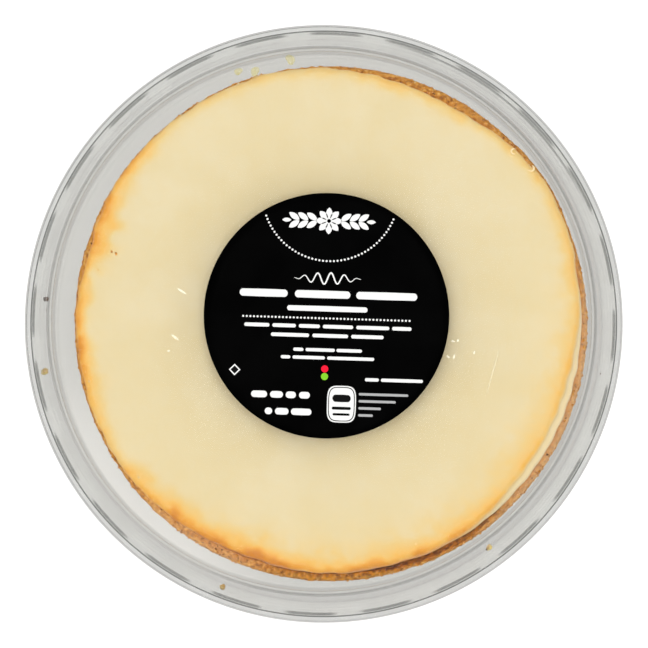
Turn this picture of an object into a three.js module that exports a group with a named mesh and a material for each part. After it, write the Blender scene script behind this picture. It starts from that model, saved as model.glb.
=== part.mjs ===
// A round baked cheesecake on a crumb base, shut in its clear pack: a shallow tray, a
// domed lid that snaps over the tray's rim, and a round paper label on the lid.
// Millimetres, +Z up. Seen from above, +X is right and +Y is away. The origin is the
// centre of the pack's underside.

import * as THREE from "three";

const TURN = 2 * Math.PI;
const DEGREE = TURN / 360;

// Clear plastic
const PLASTIC = 0.7; // wall of the tray and the lid
const GAP = 0.3; // play between pieces that meet
const PACK_RADIUS = 89; // outside of the lid's lip
const PACK_HEIGHT = 38.6;

// Tray
const TRAY_COLUMNS = 72; // facets round the tray
const FLANGE_TOP = 13.9; // upper face of the tray's flange
const FLANGE_RADIUS = 87.4;
const BUTTON_RADIUS = 24; // flat middle that the pack stands on
const FOOT_INNER = 67; // ring foot, from here out to FOOT_OUTER
const FOOT_OUTER = 79.5;
const FLOOR_RISE = 1.2; // of the floor between the middle and the ring foot
const TRAY_WALL_FOOT = 80.9;
const TRAY_WALL_TOP = 82.8;

// Lid
const LUG_COUNT = 24; // gaps in the snap bead, evenly spaced
const COLUMNS_PER_LUG = 5;
const GAP_COLUMNS = 2; // of those, at which the bead is left out
const FIRST_LUG = 5 * DEGREE;
const BEAD_HEIGHT = 0.9;
const BEAD_RADIUS = 86.35;
const BEAD_HALF_WIDTH = 0.35;
const LIP_DEPTH = 2.7; // of the lid's turned-down lip
const LIP_CORNER = 0.5;
const WALL_FOOT_RADIUS = 85.4;
const SHOULDER_RADIUS = 80.9; // where the wall meets the rounded shoulder
const SHOULDER_ROUND = 1.2;
const RING_INNER = 78.4; // raised ring round the top, from here out to the shoulder
const RING_SLOPE = 0.5; // width of the ring's inner slope
const PANEL_SINK = 1.2; // of the top panel below the ring

// Label
const LABEL_RADIUS = 36;
const LABEL_THICKNESS = 0.25;
const LABEL_GAP = 0.15;
const LABEL_CENTRE = [1.5, 1.5];

// Cake
const CAKE_COLUMNS = 96; // facets round the cake
const CAKE_CENTRE = [1.75, 0.25];
const CAKE_HEIGHT = 26.1; // from the crust's foot to the edge of the top
const CRUST_RADIUS = 77;
const CRUST_THICKNESS = 4.6; // of its floor
const CRUST_RIM = 0.9; // least height of its rim above that floor
const CRUST_FOOT_INSET = 1.2; // of the edge of its foot from its widest line
const CRUST_TURN_INSET = 0.2; // of the line where its side turns up
const CRUST_TURN_HEIGHT = 1;
const CRUST_WIDEST_HEIGHT = 2.6;
const CRUST_RIM_INSET = 0.25; // of the outer edge of its rim
const CRUST_RIM_ROUND = 0.8;
const CRUST_RIM_LEAST = 0.9; // width of its rim where the filling stands off it
const CRAG = 0.25; // how far the crumbs of the crust's side stand in or out
const FILLING_RADIUS = 75.3; // at its foot
const FILLING_TAPER = 0.6; // how much smaller it is just below its rounded edge
const FOOT_ROUND = 0.6; // of the filling's lower edge
const EDGE_ROUND = 1.8; // of its upper edge
const LEAN_DEPTH = 4.4; // height below that edge over which its side can lean in
const TOP_SAG = 0.9; // of the middle of the top below its edge
const OUTLINE_WANDER = 0.25; // of the cake's outline from a true circle
const TOP_WANDER = 0.25; // of the top from a smooth dish
const TOP_RINGS = [60, 40, 20, 0]; // radii of the lines round its top

// Uneven places round the cake. Each has a direction, a spread to both sides and a size.
// The whole cake stands out, or in where the size is below 0
const SWELLS = [
  { at: -167 * DEGREE, spread: 48 * DEGREE, size: -0.55 },
  { at: 113 * DEGREE, spread: 16 * DEGREE, size: 0.4 },
  { at: 37 * DEGREE, spread: 10 * DEGREE, size: 0.5 },
  { at: 14 * DEGREE, spread: 9 * DEGREE, size: -0.35 },
  { at: -60 * DEGREE, spread: 14 * DEGREE, size: 0.27 },
];
// The filling stands back from the crust's rim
const DENTS = [
  { at: -25 * DEGREE, spread: 25 * DEGREE, size: 0.45 },
  { at: -100 * DEGREE, spread: 35 * DEGREE, size: 1.2 },
  { at: 63 * DEGREE, spread: 18 * DEGREE, size: 1.7 },
  { at: 165 * DEGREE, spread: 7 * DEGREE, size: 0.9 },
];
// The filling stands out over the crust's rim
const BULGES = [
  { at: 154 * DEGREE, spread: 62 * DEGREE, size: 0.2 },
  { at: 25 * DEGREE, spread: 11 * DEGREE, size: 0.8 },
];
// The head of the filling's side leans in
const LEANS = [{ at: -26 * DEGREE, spread: 24 * DEGREE, size: 1.7 }];
// The crust's rim opens into a groove beside the filling
const GROOVES = [{ at: -65 * DEGREE, spread: 15 * DEGREE, size: 1.5 }];
// The crust's rim climbs the side
const CLIMBS = [
  { at: -105 * DEGREE, spread: 36 * DEGREE, size: 5.5 },
  { at: 63 * DEGREE, spread: 20 * DEGREE, size: 2.5 },
];

/** Seeded draws from 0 to 1, the same on every run. */
function draws(seed) {
  let state = seed;
  return () => {
    state = (Math.imul(state, 1664525) + 1013904223) >>> 0;
    return state / 2 ** 32;
  };
}

/** A smooth closed ripple of an angle: whole waves from first to last in number, each in
 * its own phase, that together stay near size. */
function ripple(seed, first, last, size) {
  const draw = draws(seed);
  const phases = Array.from({ length: last - first + 1 }, () => draw() * TURN);
  const share = size / Math.sqrt(phases.length);
  return (angle) =>
    phases.reduce((sum, phase, i) => sum + share * Math.sin((first + i) * angle + phase), 0);
}

/** The path moved sideways by distance, positive to the left of its direction. */
function beside(path, distance) {
  const at = path.map(([r, z]) => new THREE.Vector2(r, z));
  const left = at.slice(1).map((end, i) => {
    const along = end.clone().sub(at[i]).normalize();
    return new THREE.Vector2(-along.y, along.x);
  });
  return at.map((point, i) => {
    const before = left[Math.max(i - 1, 0)];
    const after = left[Math.min(i, left.length - 1)];
    const middle = before.clone().add(after).normalize();
    const moved = point.clone().addScaledVector(middle, distance / middle.dot(before));
    return [moved.x, moved.y];
  });
}

/** Points on a quarter or other arc of the radius and height plane. */
function arc(centre, radius, from, to, steps) {
  return Array.from({ length: steps + 1 }, (_, i) => {
    const angle = from + ((to - from) * i) / steps;
    return [centre[0] + radius * Math.cos(angle), centre[1] + radius * Math.sin(angle)];
  });
}

/** A profile of [radius, height] turned about +Z. reshape may return a new radius and
 * height for a point, from its profile index, its angle and its column. */
function turned(profile, columns, start = 0, reshape = null) {
  const points = profile.map(([r, z]) => new THREE.Vector2(r, z));
  // The lathe counts its angle from -Y, a quarter turn before +X
  const solid = new THREE.LatheGeometry(points, columns, start + TURN / 4, TURN);
  solid.rotateX(Math.PI / 2);
  if (reshape) {
    const position = solid.getAttribute("position");
    for (let i = 0; i < position.count; i++) {
      const row = i % profile.length;
      const column = Math.floor(i / profile.length) % columns;
      const angle = start + (column * TURN) / columns;
      const [r, z] = reshape(row, angle, column, profile[row]);
      position.setXYZ(i, r * Math.cos(angle), r * Math.sin(angle), z);
    }
  }
  return solid;
}

function piece(name, geometry, material) {
  const mesh = new THREE.Mesh(geometry, new THREE.MeshStandardMaterial(material));
  mesh.name = name;
  return mesh;
}

/** The tray: a floor that stands on its middle and a ring foot, a drafted wall and a flat
 * flange, all one even wall thick. */
function makeTray() {
  const under = [
    [0, 0],
    [BUTTON_RADIUS, 0],
    [BUTTON_RADIUS + FLOOR_RISE, FLOOR_RISE],
    [FOOT_INNER - FLOOR_RISE, FLOOR_RISE],
    [FOOT_INNER, 0],
    [FOOT_OUTER, 0],
    [TRAY_WALL_FOOT, TRAY_WALL_FOOT - FOOT_OUTER],
    [TRAY_WALL_TOP, FLANGE_TOP - PLASTIC],
    [FLANGE_RADIUS, FLANGE_TOP - PLASTIC],
  ];
  const inside = beside(under, PLASTIC).reverse();
  return piece("tray", turned([...under, ...inside], TRAY_COLUMNS), {
    color: 0xc6c6c4,
    roughness: 0.1,
    metalness: 0,
    transparent: true,
    opacity: 0.35,
  });
}

/** The lid: a sunk top panel in a raised ring, a drafted wall, and a rim with the snap
 * bead, broken by the lugs, inside its turned-down lip. */
function makeLid() {
  const rimTop = FLANGE_TOP + GAP + PLASTIC;
  const panel = PACK_HEIGHT - PANEL_SINK;
  const shoulder = [SHOULDER_RADIUS - SHOULDER_ROUND, PACK_HEIGHT - SHOULDER_ROUND];
  const crown = [
    [0, panel],
    [RING_INNER, panel],
    [RING_INNER + RING_SLOPE, PACK_HEIGHT],
    ...arc(shoulder, SHOULDER_ROUND, TURN / 4, 0, 2),
    [WALL_FOOT_RADIUS, rimTop + 2 * LIP_CORNER],
    [WALL_FOOT_RADIUS + LIP_CORNER, rimTop],
  ];
  const bead = [-1, 0, 1].map((side) => [BEAD_RADIUS + side * BEAD_HALF_WIDTH, rimTop]);
  const rim = [
    [PACK_RADIUS - LIP_CORNER, rimTop],
    [PACK_RADIUS, rimTop - LIP_CORNER],
    [PACK_RADIUS, rimTop - LIP_DEPTH],
  ];
  const inside = beside([...crown, ...rim], -PLASTIC);
  const outside = [...crown, ...bead, ...rim].reverse();
  const profile = [...inside, ...outside];
  const crest = profile.findIndex(([r, z]) => r === BEAD_RADIUS && z === rimTop);
  const columns = LUG_COUNT * COLUMNS_PER_LUG;
  const start = FIRST_LUG - TURN / columns / 2;
  const reshape = (row, angle, column, [r, z]) => {
    const isLug = column % COLUMNS_PER_LUG < GAP_COLUMNS;
    return [r, row === crest && !isLug ? z + BEAD_HEIGHT : z];
  };
  return piece("lid", turned(profile, columns, start, reshape), {
    color: 0xd2d2d0,
    roughness: 0.08,
    metalness: 0,
    transparent: true,
    opacity: 0.3,
  });
}

/** The label: a thin black disc on the lid's panel. */
function makeLabel() {
  const disc = new THREE.CylinderGeometry(LABEL_RADIUS, LABEL_RADIUS, LABEL_THICKNESS, 72);
  disc.rotateX(Math.PI / 2);
  const label = piece("label", disc, { color: 0x050505, roughness: 0.3, metalness: 0 });
  const foot = PACK_HEIGHT - PANEL_SINK + LABEL_GAP;
  label.position.set(...LABEL_CENTRE, foot + LABEL_THICKNESS / 2);
  return label;
}

/** The sum of the uneven places in one direction, each a smooth hump that is flatter in
 * the middle and steeper at its ends for a higher power. */
function humps(places, angle, power = 2) {
  return places.reduce((sum, { at, spread, size }) => {
    const away = Math.abs(Math.atan2(Math.sin(angle - at), Math.cos(angle - at)));
    return sum + size * Math.exp(-((away / spread) ** power));
  }, 0);
}

const outline = ripple(11, 2, 9, OUTLINE_WANDER);
const swell = (angle) => humps(SWELLS, angle, 4);
const cakeFoot = FLOOR_RISE + PLASTIC + GAP;
const crustFloor = cakeFoot + CRUST_THICKNESS;

/** How far the filling's foot reaches in one direction. */
function fillingReach(angle) {
  return FILLING_RADIUS + outline(angle) + swell(angle) - humps(DENTS, angle);
}

/** The crust: a shallow dish of pressed crumbs with a craggy side and an uneven rim, in
 * which the filling stands. */
function makeCrust() {
  const draw = draws(23);
  const crags = Array.from({ length: CAKE_COLUMNS * 4 }, () => CRAG * (draw() * 2 - 1));
  // Radius and height of each row of points in one column
  const section = (angle, column) => {
    const crag = crags.slice(4 * column, 4 * column + 4);
    const outer = CRUST_RADIUS + outline(angle) / 2 + swell(angle);
    const inner = fillingReach(angle) + GAP;
    const brim = Math.min(inner + humps(GROOVES, angle, 4), outer - CRUST_RIM_LEAST);
    const rim = crustFloor + CRUST_RIM + humps(CLIMBS, angle);
    return [
      [0, cakeFoot],
      [outer - CRUST_FOOT_INSET, cakeFoot],
      [outer - CRUST_TURN_INSET + crag[0], cakeFoot + CRUST_TURN_HEIGHT],
      [outer + crag[1], cakeFoot + CRUST_WIDEST_HEIGHT],
      [outer - CRUST_RIM_INSET + crag[2] / 2, rim - CRUST_RIM_ROUND],
      [(outer + brim) / 2, rim + crag[3]],
      [brim, rim - CRUST_RIM_ROUND / 2],
      [inner, crustFloor],
      [0, crustFloor],
    ];
  };
  const reshape = (row, angle, column) => section(angle, column)[row];
  const blank = section(0, 0).map(([r], row) => [r === 0 ? 0 : 1, row]);
  const crust = piece("crust", turned(blank, CAKE_COLUMNS, 0, reshape), {
    color: 0x9c6430,
    roughness: 0.95,
    metalness: 0,
  });
  crust.position.set(...CAKE_CENTRE, 0);
  return crust;
}

/** The filling: a disc with a rounded upper edge, a side that stands out in some places
 * and leans in at another, and a slightly sunken top. */
function makeFilling() {
  const foot = crustFloor + GAP;
  const head = cakeFoot + CAKE_HEIGHT;
  const brow = FILLING_RADIUS - FILLING_TAPER;
  const flatRadius = brow - EDGE_ROUND;
  const edge = arc([flatRadius, head - EDGE_ROUND], EDGE_ROUND, 0, TURN / 4, 3);
  const inCrust = [
    [0, foot],
    [FILLING_RADIUS - FOOT_ROUND, foot],
    [FILLING_RADIUS, foot + FOOT_ROUND],
    [FILLING_RADIUS, crustFloor + CRUST_RIM + FOOT_ROUND],
  ];
  const upright = [brow, head - EDGE_ROUND - LEAN_DEPTH];
  const dished = (r) => head - TOP_SAG * (1 - (r / flatRadius) ** 2);
  const profile = [...inCrust, upright, ...edge, ...TOP_RINGS.map((r) => [r, dished(r)])];
  const topRipple = ripple(37, 1, 5, TOP_WANDER);
  const reshape = (row, angle, column, [r, z]) => {
    if (r === 0) return [r, z];
    const bulge = row < inCrust.length ? 0 : humps(BULGES, angle, 6);
    const lean = row <= inCrust.length ? 0 : humps(LEANS, angle, 4);
    const change = fillingReach(angle) - FILLING_RADIUS + bulge - lean;
    const reach = r + (change * r) / FILLING_RADIUS;
    const isTop = row > profile.length - TOP_RINGS.length - 2;
    return [reach, isTop ? z + (topRipple(angle) * r) / brow : z];
  };
  const filling = piece("filling", turned(profile, CAKE_COLUMNS, 0, reshape), {
    color: 0xefd8a0,
    roughness: 0.5,
    metalness: 0,
  });
  filling.position.set(...CAKE_CENTRE, 0);
  return filling;
}

const cheesecake = new THREE.Group();
cheesecake.add(makeTray(), makeLid(), makeLabel(), makeCrust(), makeFilling());

export default cheesecake;
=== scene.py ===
"""Looks of a round baked cheesecake on a crumb crust, shut in its clear pack.

Lengths are in millimetres and become metres where a mesh is made. Angles turn
counter-clockwise from +X, seen from above.
"""

import itertools
import math

import bpy
import numpy as np
from mathutils import Matrix, Vector


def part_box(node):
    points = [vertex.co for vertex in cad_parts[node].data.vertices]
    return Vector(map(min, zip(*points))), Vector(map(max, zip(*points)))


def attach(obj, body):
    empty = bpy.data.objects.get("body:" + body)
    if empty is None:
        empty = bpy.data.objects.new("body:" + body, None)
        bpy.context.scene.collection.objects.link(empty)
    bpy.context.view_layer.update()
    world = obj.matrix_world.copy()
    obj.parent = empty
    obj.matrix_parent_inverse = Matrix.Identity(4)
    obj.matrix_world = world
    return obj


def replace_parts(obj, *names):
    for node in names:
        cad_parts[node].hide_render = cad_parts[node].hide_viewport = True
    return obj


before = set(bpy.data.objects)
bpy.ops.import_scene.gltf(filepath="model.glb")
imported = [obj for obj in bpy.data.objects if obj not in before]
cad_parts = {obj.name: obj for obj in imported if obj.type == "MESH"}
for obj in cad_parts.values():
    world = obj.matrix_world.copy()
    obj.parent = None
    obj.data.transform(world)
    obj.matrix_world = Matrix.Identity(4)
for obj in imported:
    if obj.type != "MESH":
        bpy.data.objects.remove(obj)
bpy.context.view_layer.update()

MM = 0.001
TURN = 2 * math.pi
DEGREE = TURN / 360


def corners_of(node):
    """The lowest and highest corner of a solid, in millimetres."""
    low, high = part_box(node)
    return np.array(low) / MM, np.array(high) / MM


# Places taken from the solids
lid_low, lid_high = corners_of("lid")
_, tray_high = corners_of("tray")
label_low, label_high = corners_of("label")
crust_low, _ = corners_of("crust")
PACK_RADIUS = lid_high[0]
PACK_HEIGHT = lid_high[2]
LIP_FOOT = lid_low[2]
FLANGE_TOP = tray_high[2]
FLANGE_RADIUS = tray_high[0]
LABEL_CENTRE = (label_low[:2] + label_high[:2]) / 2
LABEL_RADIUS = (label_high[0] - label_low[0]) / 2
LABEL_FOOT = label_low[2]
LABEL_TOP = label_high[2]
SOLID_CAKE_FOOT = crust_low[2]

# Clear plastic
PLASTIC = 0.45  # true thickness of the sheet
SOLID_PLASTIC = 0.7  # wall of the solids
GAP = 0.3  # play between the solids
ARC_STEPS = 6  # along a rounded corner
LONGEST_STEP = 2.5  # along a straight run
MIRROR_LEAST = 0.0015  # mirrored share of the light, face on
MIRROR_MOST = 0.35  # and more, edge on

# Tray
TRAY_COLUMNS = 256
BUTTON_RADIUS = 24  # flat middle that the pack stands on
FLOOR_TOP = SOLID_CAKE_FOOT - GAP
FOOT_INNER = 67  # ring foot, from here out to the wall
TRAY_WALL_FOOT = 80.67
TRAY_WALL_TOP = 82.8
TRAY_FOOT_ROUND = 1.6
SHEET_ROUND = 0.7  # of its other corners
TRIM = 0.3  # width of the flange's trimmed edge
TRIM_BLEND = 0.15

# Lid
LUG_COUNT = 24  # gaps in the snap bead, evenly spaced
COLUMNS_PER_LUG = 20
FIRST_LUG = 5 * DEGREE
LUG_HALF = 3 * DEGREE
LUG_SOFTNESS = 1.0 * DEGREE
BEAD_HEIGHT = 0.9
BEAD_RADIUS = 86.42
BEAD_HALF_WIDTH = 0.56
BEAD_ROWS = 11
RIM_TOP = FLANGE_TOP + GAP + SOLID_PLASTIC
WALL_FOOT_RADIUS = 85.6
SHOULDER_RADIUS = 80.65  # of the wall's line at the pack's height
SHOULDER_ROUND = 1.2
RING_INNER = 78.4
RING_SLOPE = 0.5
LABEL_GAP = 0.15
PANEL_TOP = LABEL_FOOT - LABEL_GAP
PANEL_FOOT = PANEL_TOP - PLASTIC
LIP_CORNER = 0.5
RIM_SHADE = 0.34  # painted shade of the flat rim, as a share of a bend's painted shade
LIP_SHADE = 0.46  # the same beyond the tray's flange
FOOT_SHADE = 0.26  # the same of the tray's ring foot, painted shade for the cake's shadow seen through it
LIGHT_POOL_PLACE = [(-136, 28, 0.75)]  # where a painted pool of light lifts the sheet's painted shade
FOOT_LINE_SHADE = [(51, 23, 2.4)]  # where a painted dark line runs along the foot of the lid's wall

# Cake
CAKE_CENTRE = np.array([1.75, 0.25])
CAKE_FOOT = FLOOR_TOP + 0.02
CAKE_HEAD = SOLID_CAKE_FOOT + 26.1
CRUST_FLOOR = SOLID_CAKE_FOOT + 4.6
CRUST_RADIUS = 77
CRUST_RIM = 0.9  # least height of its rim above its floor
CRUST_COLUMNS = 1080
CRUST_PLAY = 0.15  # between its rim and the filling
CRUST_RIM_LEAST = 0.9  # width of its rim where the filling stands off it
PRESSED_ROWS = 4  # key rows up to the head of the crust's outer side
PRESSED_CRUMB = 0.1  # how far a crumb stands out from that side
LOOSE_CRUMB = 0.6  # and from the rim
CRUMB_COUNT = 1500
FILLING_RADIUS = 75.3
FILLING_TAPER = 0.6
FILLING_COLUMNS = 720
SIDE_ROWS = 26
BROW_ROWS = 13
TOP_ROWS = 82
BROWN_WIDTH = 2.4  # of the browned edge where it is faintest
BROWN_WIDER = 2.8  # and more where it is strongest
GLOW_REACH = 10  # of the faint gold inside that edge
FOOT_ROUND = 0.6
EDGE_ROUND = 1.8
TOP_SAG = 0.9
OUTLINE_WANDER = 0.25
RAGGED = 0.14  # fine unevenness of the filling's outline
TOP_WANDER = 0.25

# Layers of noise: cell, size and seed of each
CRUST_LUMPS = [(2.6, 0.34, 11), (1.2, 0.26, 12), (0.7, 0.16, 13)]
SIDE_LUMPS = [(2.2, 0.16, 5), (1.1, 0.096, 6)]
TOP_LUMPS = [(17, 0.10, 7), (6, 0.05, 8)]
BROWN_LUMPS = [(9, 0.6, 3), (3.5, 0.5, 4)]

# Uneven places round the cake: direction in degrees, spread to both sides and size
SWELLS = [  # the whole cake stands out, or in where the size is below 0
    (-167, 48, -0.55), (113, 16, 0.4), (37, 10, 0.5), (14, 9, -0.35), (-60, 14, 0.27),
]
BULGES = [  # the filling stands out nearly as far as the crust
    (154, 62, 0.2), (-151, 14, 0.5), (-92, 12, 0.5), (60, 14, 0.2), (41, 10, 0.5), (25, 11, 0.8),
]
DENTS = [(-25, 25, 0.45), (-100, 35, 1.2), (63, 18, 1.7), (165, 7, 0.9)]  # it stands back
LEANS = [(-26, 24, 1.7)]  # the head of its side leans in
LEAN_FROM = 0.78  # share of the side's height where that begins
UNBROWNED_BROW_AND_HIGHLIGHT = [(-20, 33, 1.0)]  # its rounded edge stays unbrowned, and pale as a painted highlight
BAKED_SIDE = [(-85, 43, 0.95)]  # its whole side is browned
CLIMBS = [(-105, 36, 5.5), (63, 20, 2.5)]  # the crust's rim climbs the side
GROOVES = [(-65, 15, 1.5)]  # a gap between the crust's rim and the filling
BAKED_LEAST = 0.12  # how browned the edge is elsewhere
BAKED_MORE = [  # the browned edge is stronger
    (-62, 13, 0.12), (-90, 20, 0.26), (-121, 20, 0.42), (178, 24, 0.42), (148, 14, 0.35),
    (60, 20, 0.1),
]
GLOW_LEAST = 0.1
GLOW = [(-60, 75, 0.26)]  # the top is a little golden far in from the edge
PALE_CRUST = [(-20, 32, 1.0), (-122, 16, 0.6)]
DARK_CRUST = [(-65, 17, 0.85)]  # beside the filling only
BAKED_CRUST = [(-90, 14, 0.6)]  # over its whole width

# Small things: place and size, and for long ones a direction too
FATTY_CRUMBS = [(-83.0, -14.3, 1.3), (-30.0, -78.4, 1.6), (49.3, -66.6, 1.3)]  # on the flange
DARK_CRUMBS = [(-82.7, 7.2, 1.4), (-82.6, 4.0, 0.4), (82.4, -15.1, 0.4), (48.6, -67.2, 0.5)]
TOP_CRUMBS = [(-62.2, 20.8, 0.45), (-60.9, 20.1, 0.6), (-66.2, 15.4, 0.35)]
CREAM_FLECKS = [
    (-68.8, -17.5, 0.35), (-54.1, -45.8, 0.4), (-41.7, 61.3, 0.35), (-27.0, 71.0, 0.3),
    (-24.7, 70.5, 0.35), (-34.4, 66.3, 0.25), (22.0, 72.6, 0.35), (27.5, 70.8, 0.3),
]
CREAM_CURLS = [(56.6, 50.2, 60), (61.7, 45.2, 200)]
SMEARS = [(-24.4, 73.3, 1.1), (-19.5, 73.3, 1.3), (-9.1, 76.8, 1.4)]  # under the lid's panel
SCUFF_GLINTS = [  # on the lid's panel, partly painted glints: place, direction, length and width
    (-40.9, 8.7, -33, 3.2, 0.7), (-42.9, -4.8, -38, 2.8, 0.7), (-44.8, -8.8, 0, 0.8, 0.6),
    (38.6, -6.0, -20, 1.2, 0.6), (40.0, -5.8, 60, 1.0, 0.6), (37.2, -10.6, -35, 1.4, 0.6),
    (38.9, -10.5, 75, 1.6, 0.5), (44.8, -9.3, 80, 1.2, 0.5),
]
# A faint streak on the panel, partly a painted glint
FAINT_SCUFF_GLINTS = [(50.2, -15.1, 74, 14.0, 0.5)]
SMEAR_COVER = 0.42
SCUFF_GLINT_COVER = 0.55
FAINT_COVER = 0.12
FILM_SINK = 0.02  # of a smear or scuff in the sheet that it is on

# Label print, from the label's middle, before its small turn
PRINT_TURN = -1.8 * DEGREE
PRINT_HEIGHT = 0.06
INK_STEP = 0.02  # of one ink over another
LABEL_COLUMNS = 192
BAR_SHARE = 0.55  # height of a bar in the height of its row
WORD_ROWS = [  # height of the middle, height of the row, and each bar's middle and length
    (6.2, 4.1, [(-18.6, 14.1), (-1.3, 16.3), (17.5, 17.9)]),
    (2.0, 2.9, [(0.2, 23.6)]),
    (-3.2, 2.0, [(-20.3, 7.4), (-12.3, 6.9), (-4.9, 6.2), (3.5, 8.9), (13.7, 9.7), (22.2, 5.7)]),
    (-5.9, 2.0, [(-10.5, 11.2), (1.3, 10.5), (12.2, 9.5)]),
    (-10.1, 1.8, [(-7.9, 3.0), (-1.5, 8.6), (7.0, 7.5)]),
    (-12.4, 1.8, [(-11.6, 2.8), (-4.8, 9.5), (7.5, 13.8)]),
    (-18.4, 1.8, [(13.9, 4.1), (22.7, 12.3)]),
    (-23.5, 3.6, [(-19.0, 4.7), (-13.9, 3.8), (-9.7, 3.0), (-5.7, 3.2)]),
    (-28.4, 3.6, [(-16.1, 2.2), (-12.2, 4.0), (-6.5, 6.0)]),
]
FINE_LINES = [14.5, 10.9, 6.6, 4.3]  # lengths
FINE_LINE_LEFT = 10.2
FINE_LINE_TOP = -22.7
FINE_LINE_STEP = 2.06
FINE_LINE_HEIGHT = 0.75
DOT_RADIUS = 0.31
RULE_HALF = 24.4
RULE_LEVEL = -0.8
RULE_DOTS = 47
ARC_CENTRE = (0.1, 36.0)
ARC_RADIUS = 20.0
ARC_HALF = 72 * DEGREE
ARC_DOTS = 48
SPOT_RADIUS = 1.05
SPOTS = {"red": (0.0, -15.6), "green": (0.0, -17.85)}
BADGE_CENTRE = np.array([5.2, -25.8])
BADGE_HALVES = np.array([4.25, 5.4])
BADGE_LAYERS = [("edge", "white", 0), ("line", "black", 0.35), ("face", "white", 0.6)]  # inset
BADGE_ROWS = [(1.7, 5.4, 2.2), (-1.2, 5.6, 0.9), (-3.0, 5.0, 0.7)]  # level, length, thickness
DIAMOND_CENTRE = (-26.4, -16.6)
DIAMOND_LAYERS = [("edge", "white", 3.4), ("middle", "black", 2.4)]  # width
GARLAND_CENTRE = np.array([-0.1, 27.8])
PETAL_COUNT = 8
PETAL_REACH = 2.2
PETAL_SIZE = (3.4, 1.9)  # length and width
SPRIG_STEPS = np.array([5.0, 7.6, 10.2])  # of its pairs of leaves from the garland's middle
SPRIG_LEAF_LIFT = 1.15
SPRIG_LEAF_TURN = 0.6
SPRIG_LEAF_SIZE = (3.6, 1.7)
SPRIG_TIP = 12.4
SPRIG_TIP_SIZE = (2.6, 1.2)
FLOURISH_LEVEL = 10.9
FLOURISH_HALF = 9.8
FLOURISH_WAVE = 1.7
INKS = {
    "white": (222, 222, 220),
    "grey": (160, 160, 160),
    "red": (226, 24, 50),
    "green": (120, 190, 40),
    "black": (8, 8, 8),
}

# Camera: the photo looks down on the pack, a little from its lower right
AIM = Vector((0.21, -0.21, 14.2)) * MM
CAMERA_LEAN = (0.0247, -0.031)  # sideways, for each unit of height
CAMERA_DISTANCE = 1.5
IMAGE_WIDTH = 192.9 * MM  # seen at the aim
SENSOR = 36

# Studio, in metres and watts. Each light has an azimuth, an elevation, a power and a size
FLOOR_SIZE = 8
FLOOR_LEVEL = -0.05 * MM
FLOOR_GLOW = 0.78
FLOOR_TONE = 150
LIGHT_DISTANCE = 1.2
LIGHTS = {
    "top_light": (-50, 88, 7.5, 0.6),
    "near_light": (-85, 42, 1.25, 0.9),
    "right_light": (-10, 42, 1.25, 0.9),
    "left_light": (195, 66, 1.6, 0.5),
    "far_light": (95, 66, 2.1, 0.5),
}
SKY_STRENGTH = 0.8
SKY_GREYS = [(0.0, 1.0), (0.7, 0.9), (0.92, 0.5), (0.98, 0.02)]  # by the elevation's sine


def tone(red, green, blue):
    """A colour of 0 to 255 as the eye sees it, as the linear values that shaders take."""
    seen = np.array([red, green, blue]) / 255
    linear = np.where(seen <= 0.04045, seen / 12.92, ((seen + 0.055) / 1.055) ** 2.4)
    return (*linear.tolist(), 1.0)


# Shapes


def value_noise(points, cell, seed):
    """Smooth random heights from -1 to 1: in a cubic lattice of random values, those at the
    corners of a point's cell are blended by the smooth step of its place in the cell."""
    side = 64
    table = np.random.default_rng(seed).uniform(-1, 1, (side, side, side))
    at = points / cell
    low = np.floor(at).astype(int)
    part = at - low
    part = part * part * (3 - 2 * part)
    total = np.zeros(at.shape[:-1])
    for corner in itertools.product((0, 1), repeat=3):
        share = np.where(corner, part, 1 - part).prod(axis=-1)
        x, y, z = np.moveaxis((low + corner) % side, -1, 0)
        total += share * table[x, y, z]
    return total


def ripple(seed, first, last, size, angle):
    """A closed ripple of an angle: the sum of sines with first to last waves round, each in
    its own drawn phase, which together stay near size."""
    state = seed
    total = np.zeros_like(angle)
    for waves in range(first, last + 1):
        state = (state * 1664525 + 1013904223) % 2**32
        total += np.sin(waves * angle + TURN * state / 2**32)
    return total * size / math.sqrt(last - first + 1)


def humps(places, angle, power=4):
    """The sum of smooth humps: size times exp(-(distance / spread) ** power)."""
    total = np.zeros_like(angle)
    for at, spread, size in places:
        away = np.abs(np.angle(np.exp(1j * (angle - at * DEGREE))))
        total += size * np.exp(-((away / (spread * DEGREE)) ** power))
    return total


def layered_noise(points, layers):
    """The sum of value noises, each with its cell, its size and its seed."""
    return sum(size * value_noise(points, cell, seed) for cell, size, seed in layers)


def smooth_step(value, low, high):
    """0 below low, 1 above high, and 3t² - 2t³ of the share t between them."""
    share = np.clip((value - low) / (high - low), 0, 1)
    return share * share * (3 - 2 * share)


def angles(columns):
    """Evenly spaced directions, once round."""
    return TURN * np.arange(columns) / columns


def turned_grid(radius, height, columns, centre=(0, 0)):
    """Points of a surface turned about the vertical line through centre: column j stands at
    the angle j / columns of a turn. Radius and height hold a row for each row of points."""
    angle = angles(columns)
    x = centre[0] + radius * np.cos(angle)
    y = centre[1] + radius * np.sin(angle)
    return np.stack([x, y, np.broadcast_to(height, x.shape)], axis=-1)


def closed_faces(rows, columns):
    """Faces of a grid that is closed round and ends in a point at both ends, numbered as
    capped puts them. They face outwards where the rows go out below, up, and back above."""
    index = 1 + np.arange(rows * columns).reshape(rows, columns)
    after = np.roll(index, -1, axis=1)
    quads = np.stack([index[:-1], after[:-1], after[1:], index[1:]], axis=-1)
    foot = np.stack([np.zeros_like(index[0]), after[0], index[0]], axis=-1)
    head = np.stack([index[-1], after[-1], np.full_like(index[0], 1 + index.size)], axis=-1)
    return quads.reshape(-1, 4), np.concatenate([foot, head])


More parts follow.
